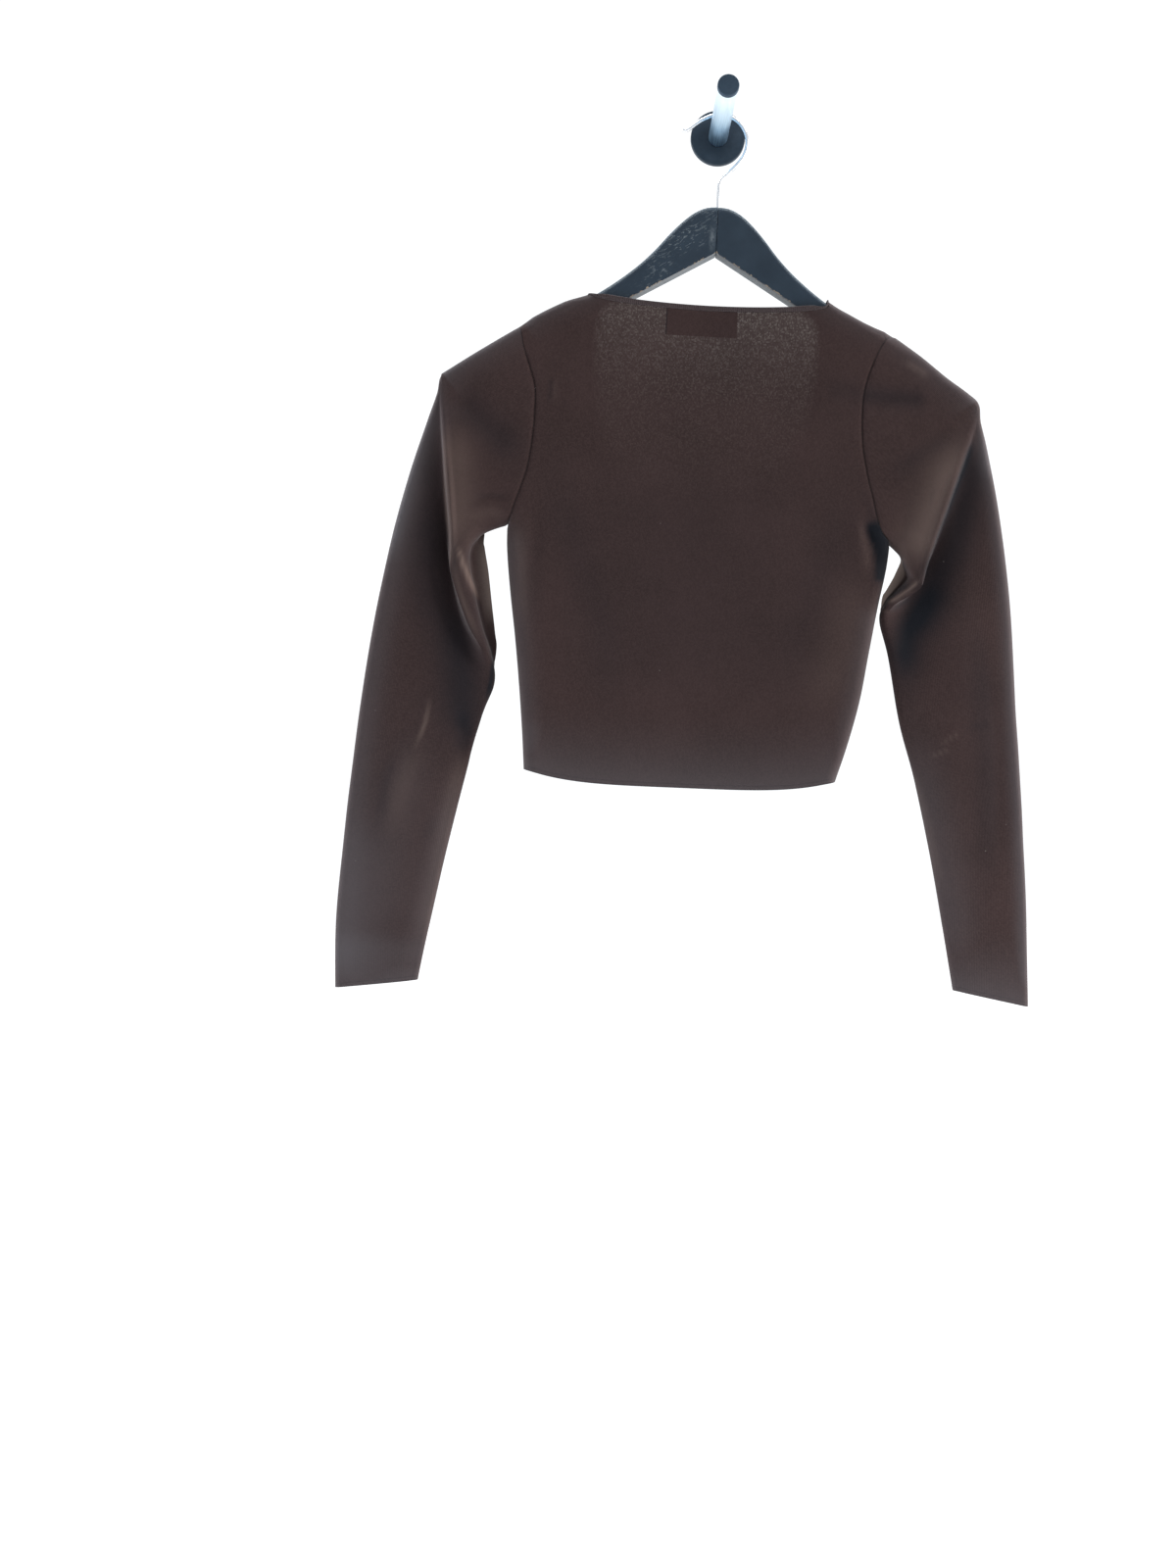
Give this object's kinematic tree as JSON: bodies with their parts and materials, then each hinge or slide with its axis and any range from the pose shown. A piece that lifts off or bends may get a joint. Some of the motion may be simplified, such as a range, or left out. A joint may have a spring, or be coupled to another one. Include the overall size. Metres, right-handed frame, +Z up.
{
  "type": "sweater on a clothes hanger",
  "caption": "Cropped long-sleeve fine knit sweater with a scoop neck, hung by its shoulders on a wooden clothes hanger that hooks over a round wall peg.",
  "frame": {"origin": "centre of the wall plate's back face", "axes": "+Z up, +Y into the wall, +X to the right as seen from the room"},
  "size_m": [0.5707, 0.0983, 0.7527],
  "materials": {
    "knit": "fine ribbed knit, slightly sheer",
    "knit_band": "rolled knit edge",
    "label": "plain woven tape",
    "black_wood": "satin black paint, worn at the edges",
    "steel_wire": "bright",
    "brushed_metal": "brushed",
    "black_plastic": "satin"
  },
  "bodies": {
    "root": {"back_panel": "knit", "front_panel": "knit", "sleeve_left": "knit", "sleeve_right": "knit", "neckband": "knit_band", "label": "label", "hanger_arm_left": "black_wood", "hanger_arm_right": "black_wood", "hanger_hook": "steel_wire", "peg_tube": "brushed_metal", "peg_cap": "black_plastic", "wall_plate": "black_plastic"}
  },
  "joints": []
}
